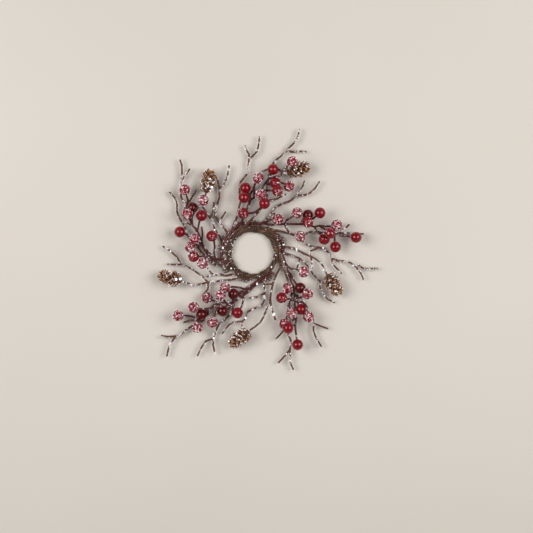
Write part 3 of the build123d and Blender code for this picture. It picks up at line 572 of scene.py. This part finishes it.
# The core, base at the origin and growing along Z
coreProfile = [(0, 0)]
for step in range(1, cone["coreRings"]):
    share = (1 - math.cos(math.pi * step / cone["coreRings"])) / 2
    coreProfile.append((coreRadius(share) * min(1, 0.55 + share * 4),
                        cone["length"] * cone["coreLengthShare"] * share))
coreProfile.append((0, cone["length"] * cone["coreLengthShare"]))
coneCore = turnedBody(cone["coreSides"], coreProfile)
paint(coneCore, "edge", lambda place, normal: 0.0)

for number, (side, (basePlace, tipPlace)) in enumerate(cones.items()):
    dice = random.Random(400 + number)
    base, tip = atPixel(*basePlace), atPixel(*tipPlace)
    stand = Matrix.Translation(base) @ (tip - base).to_track_quat("Z", "Y").to_matrix().to_4x4()
    parts = [copied(coneCore, "core", stand)]
    for index in range(cone["scales"]):
        share = (index + 0.6) / cone["scales"]
        azimuth = math.radians(cone["golden"] * index + dice.uniform(-5, 5))
        opening = math.radians(cone["openBase"] + (cone["openTip"] - cone["openBase"]) * share ** 1.1
                               + dice.uniform(-6, 6))
        size = 0.74 + 1.1 * share if share < 0.24 else min(1, 1.0 - (share - 0.7) * 1.3)
        seat = coreRadius(share) * cone["scaleSeatShare"]
        spot = Vector((seat * math.cos(azimuth), seat * math.sin(azimuth),
                       cone["length"] * cone["scaleTopShare"] * share + cone["scaleStart"]))
        lean = Euler((0, opening - math.pi / 2, azimuth)).to_matrix().to_4x4()
        parts.append(copied(coneScale, f"scale_{index}", stand @ Matrix.Translation(spot) @ lean
                            @ Matrix.Diagonal((size, size, size, 1))))
    piece = joined(f"pine_cone_{side}_scales", parts)
    pick(piece)
    bpy.ops.object.mode_set(mode="EDIT")
    bpy.ops.mesh.select_all(action="SELECT")
    bpy.ops.mesh.normals_make_consistent(inside=False)
    bpy.ops.object.mode_set(mode="OBJECT")
    way = (tip - base).normalized()

    def rim(place, normal):
        along = (place - base).dot(way)
        away = (place - base - way * along).length
        return min(1, max(coneRim["least"], (away - coneRim["from"]) / coneRim["over"]))

    paint(piece, "frost", rim)
    finished(piece, "cone", coneScales, f"pine_cone_{side}")
    frosted(piece, 500 + number, **coneFrost)
removed(coneScale)
removed(coneCore)
print("pine cones done", frostCount)

# Vine ring, its fibres and the bindings; frost lies where the photograph shows it
ringFrost = {"patch": 2.5 * mm, "bare": 0.52, "each": 1.6 * mm ** 2}
ringSpots = ((228, 250, 15), (285, 252, 12), (230, 270, 6), (260, 284, 8), (236, 232, 7))  # pixel and radius
ringCover = {"clear": 2 * mm, "least": 0.06}


def ringPatch(place, normal):  # none on the undersides or near the table
    if place.z < ringCover["clear"]:
        return 0.0
    most = ringCover["least"]
    for px, py, size in ringSpots:
        centre = atPixel(px, py)
        away = math.hypot(place.x - centre.x, place.y - centre.y) / (size * photo["pixel"])
        most = max(most, min(1, max(0, 1.5 - away)))
    return most * min(1, max(0, normal.z * 1.3))


piece = roughened("vine_ring_bark", "vine_ring", vine)
paint(piece, "frost", ringPatch)
finished(piece, "vine", vineBark, "vine_ring")
frosted(piece, 600, **ringFrost)
for number, node in enumerate(bindingNodes):
    piece = roughened(f"{node}_wrap", node, binding)
    paint(piece, "frost", ringPatch)
    finished(piece, "binding", bindingWrap, node)
    frosted(piece, 650 + number, **ringFrost)

# Ends of the lower right stems, which run back beside the rope to the top binding
tails = ({"radius": 24.9 * mm, "height": 4.3 * mm, "from": 70, "to": 33, "thick": 0.95 * mm},
         {"radius": 26.8 * mm, "height": 4.0 * mm, "from": 61, "to": 30, "thick": 0.85 * mm},
         {"radius": 25.6 * mm, "height": 5.7 * mm, "from": 52, "to": 26, "thick": 0.75 * mm})
tailSteps = 6
tailSway = 0.4 * mm
tailBare = 0.42
for number, tail in enumerate(tails):
    curve = bpy.data.curves.new(f"tail_{number}", "CURVE")
    curve.dimensions = "3D"
    curve.bevel_depth = tail["thick"]
    curve.use_fill_caps = True
    spline = curve.splines.new("NURBS")
    spline.points.add(tailSteps)
    for step, point in enumerate(spline.points):
        angle = math.radians(tail["from"] + (tail["to"] - tail["from"]) * step / tailSteps)
        reach = tail["radius"] + tailSway * math.sin(step * 1.9 + number)
        point.co = (reach * math.cos(angle), reach * math.sin(angle), tail["height"], 1)
    spline.order_u = 3
    spline.use_endpoint_u = True
    piece = bpy.data.objects.new(f"stem_tail_{number}", curve)
    bpy.context.collection.objects.link(piece)
    pick(piece)
    bpy.ops.object.convert(target="MESH")
    piece = bpy.context.object
    applied(piece, "REMESH", mode="VOXEL", voxel_size=twig["voxel"], use_smooth_shade=True)
    applied(piece, "DISPLACE", texture=cloud(f"tailKnots_{number}", twig["knotSize"]),
            strength=twig["knots"], mid_level=0.5, texture_coords="LOCAL")
    paint(piece, "frost", ringPatch)
    finished(piece, "twig", twigBark)
    frosted(piece, 680 + number, bare=tailBare)

ringLow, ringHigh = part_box("vine_ring")
rope = {"radius": (ringHigh.z - ringLow.z) / 2, "ring": ringHigh.x - (ringHigh.z - ringLow.z) / 2,
        "height": (ringLow.z + ringHigh.z) / 2}
fibres = ({"thick": 0.55 * mm, "phase": 0.9, "twists": 6.33, "from": 0.0, "to": 2.2},
          {"thick": 0.42 * mm, "phase": 2.9, "twists": 5.4, "from": 1.9, "to": 5.2},
          {"thick": 0.50 * mm, "phase": 5.0, "twists": 6.33, "from": 3.4, "to": 6.9},
          {"thick": 0.36 * mm, "phase": 1.7, "twists": 7.2, "from": -0.6, "to": 1.3})
fibreLook = {"stepsEach": 14, "sink": 0.6, "sway": 0.10 * mm, "swayTurns": 9, "rough": 0.2 * mm,
             "roughSize": 0.8 * mm}
for number, fibre in enumerate(fibres):
    curve = bpy.data.curves.new(f"fibre_{number}", "CURVE")
    curve.dimensions = "3D"
    curve.bevel_depth = fibre["thick"]
    curve.bevel_resolution = 2
    curve.use_fill_caps = True
    spline = curve.splines.new("NURBS")
    steps = fibreLook["stepsEach"] * max(2, round(fibre["to"] - fibre["from"]))
    spline.points.add(steps)
    for step, point in enumerate(spline.points):
        angle = fibre["from"] + (fibre["to"] - fibre["from"]) * step / steps
        twist = fibre["twists"] * angle + fibre["phase"]
        sway = fibreLook["sway"] * math.sin(angle * fibreLook["swayTurns"])
        reach = rope["radius"] - fibre["thick"] * fibreLook["sink"] + sway
        ring = rope["ring"] + reach * math.cos(twist)
        rise = rope["height"] + reach * math.sin(twist)
        point.co = (ring * math.cos(angle), ring * math.sin(angle), rise, 1)
        point.radius = 0.35 + 0.65 * math.sin(math.pi * min(1, max(0, step / steps))) ** 0.4
    spline.order_u = 3
    spline.use_endpoint_u = True
    strand = bpy.data.objects.new(f"vine_fibre_{number}", curve)
    bpy.context.collection.objects.link(strand)
    pick(strand)
    bpy.ops.object.convert(target="MESH")
    strand = bpy.context.object
    applied(strand, "DISPLACE", texture=cloud(f"fibreRough_{number}", fibreLook["roughSize"]),
            strength=fibreLook["rough"], mid_level=0.5, texture_coords="LOCAL")
    finished(strand, "vine", vineFibre if number % 2 == 0 else vineBark)
print("ring done", frostCount)

# Large crystals, each set on the piece that lies under its pixel; they glow white, a painted glint
crystal = {"least": 0.85 * mm, "most": 1.25 * mm, "seed": 700, "dropFrom": 6, "near": 2.5 * mm,
           "nearHeight": 0.6, "nearCost": 55 * mm, "flat": 0.7}
crystalPixels = ((271.5, 267, 1), (222.7, 248, 1.3), (284.2, 167.5, 1.2), (323.3, 247.3, 1),
                 (212, 187.5, 1.6), (176.5, 279.3, 1.3), (180.5, 278.8, 1.4), (229, 341.5, 1.2),
                 (241.3, 336.5, 0.8), (245.5, 341.5, 0.7), (245.5, 318, 1.2), (213.5, 338.5, 0.8),
                 (268.7, 299, 0.8), (273.8, 314.5, 1.3), (296.5, 248.5, 1.1), (286.5, 354, 0.7),
                 (170.3, 251.2, 0.7), (301, 171.5, 0.9), (294.5, 170, 0.8), (298, 174, 0.7),
                 (257.5, 284.5, 0.9), (262, 286, 0.7), (231, 268.5, 0.9), (283.5, 244.5, 1.1),
                 (283.3, 262, 0.8), (214.5, 229.7, 1), (335, 291, 0.8), (337.5, 286, 0.6),
                 (208, 183, 0.9), (206, 188.5, 0.8), (210.5, 179, 0.6))  # pixel and size share
carriers = [BVHTree.FromObject(piece, bpy.context.evaluated_depsgraph_get())
            for piece in bpy.context.scene.objects
            if piece.get("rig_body") and piece.type == "MESH" and piece.name not in frame["nodes"]
            and not piece.name.startswith("frost_")]
bpy.ops.object.select_all(action="DESELECT")
bpy.ops.mesh.primitive_ico_sphere_add(subdivisions=1, radius=1)
crystalShape = bpy.context.object
dice = random.Random(crystal["seed"])
crystals = []
for px, py, share in crystalPixels:
    best = None
    for tree in carriers:
        hit, normal, face, distance = tree.ray_cast(atPixel(px, py, crystal["dropFrom"]), Vector((0, 0, -1)))
        if hit is None:
            nearby = atPixel(px, py, crystal["nearHeight"])
            hit, normal, face, distance = tree.find_nearest(nearby, crystal["near"])
            distance = crystal["nearCost"] + distance if hit is not None else None
        if hit is not None and (best is None or distance < best[0]):
            best = (distance, hit)
    if best is None:
        continue
    size = dice.uniform(crystal["least"], crystal["most"]) * share
    turn = Euler([dice.uniform(0, math.tau) for axis in range(3)]).to_matrix().to_4x4()
    squash = Matrix.Diagonal((size, size * dice.uniform(crystal["flat"], 1), size * crystal["flat"], 1))
    crystals.append(copied(crystalShape, f"crystal_{len(crystals)}",
                           Matrix.Translation(best[1]) @ turn @ squash))
finished(joined("frost_crystals", crystals), "frost", frostCrystal)
removed(crystalShape)
removed(grainShape)
print("crystals done", len(crystals))

# Floor, lamps and camera
floorLook = {"size": 4, "rough": 0.9, "patch": 0.3, "dark": (0.690, 0.640, 0.575),
             "light": (0.715, 0.665, 0.600)}
bpy.ops.object.select_all(action="DESELECT")
bpy.ops.mesh.primitive_plane_add(size=floorLook["size"])
floor = bpy.context.object
floor.name = "floorPaper"
paper, paperTree, paperShader = newMaterial("floorPaper", floorLook["rough"])
paperShade = ramp(paperTree, speckle(paperTree, floorLook["patch"], 2, 0.5), (0.3, floorLook["dark"]),
                  (0.7, floorLook["light"]))
paperTree.links.new(paperShade, paperShader.inputs["Base Color"])
floor.data.materials.append(paper)

lamp = {"tilt": 38, "distance": 1.1, "size": 0.65, "power": 7.3, "forward": 0.12}
for side in (-1, 1):
    tilt = math.radians(lamp["tilt"])
    place = Vector((side * math.sin(tilt) * lamp["distance"], lamp["forward"],
                    math.cos(tilt) * lamp["distance"]))
    aim = (-place).to_track_quat("-Z", "Y").to_euler()
    bpy.ops.object.light_add(type="AREA", location=place, rotation=aim)
    light = bpy.context.object
    light.name = "lampLeft" if side < 0 else "lampRight"
    light.data.energy = lamp["power"]
    light.data.size = lamp["size"]
world = bpy.data.worlds.new("studio")
bpy.context.scene.world = world
world.use_nodes = True
sky = world.node_tree  # lighter walls under a dark ceiling
wallLight, ceilingLight = (0.32, 0.313, 0.302), (0.12, 0.12, 0.117)
height = sky.nodes.new("ShaderNodeSeparateXYZ")
sky.links.new(sky.nodes.new("ShaderNodeTexCoord").outputs["Generated"], height.inputs[0])
walls = ramp(sky, height.outputs["Z"], (0.1, wallLight), (0.8, ceilingLight))
sky.links.new(walls, sky.nodes["Background"].inputs[0])

view = {"distance": 1.3, "focus": 9 * mm, "sensor": 36}
bpy.ops.object.camera_add(location=atPixel(photo["size"] / 2, photo["size"] / 2) + Vector(
    (0, 0, view["distance"] + view["focus"])), rotation=(0, 0, 0))
camera = bpy.context.object
camera.data.sensor_width = view["sensor"]
camera.data.sensor_fit = "HORIZONTAL"
camera.data.lens = view["sensor"] * view["distance"] / (photo["size"] * photo["pixel"])
bpy.context.scene.camera = camera
bpy.context.scene.view_settings.view_transform = "Standard"
print("studio done")
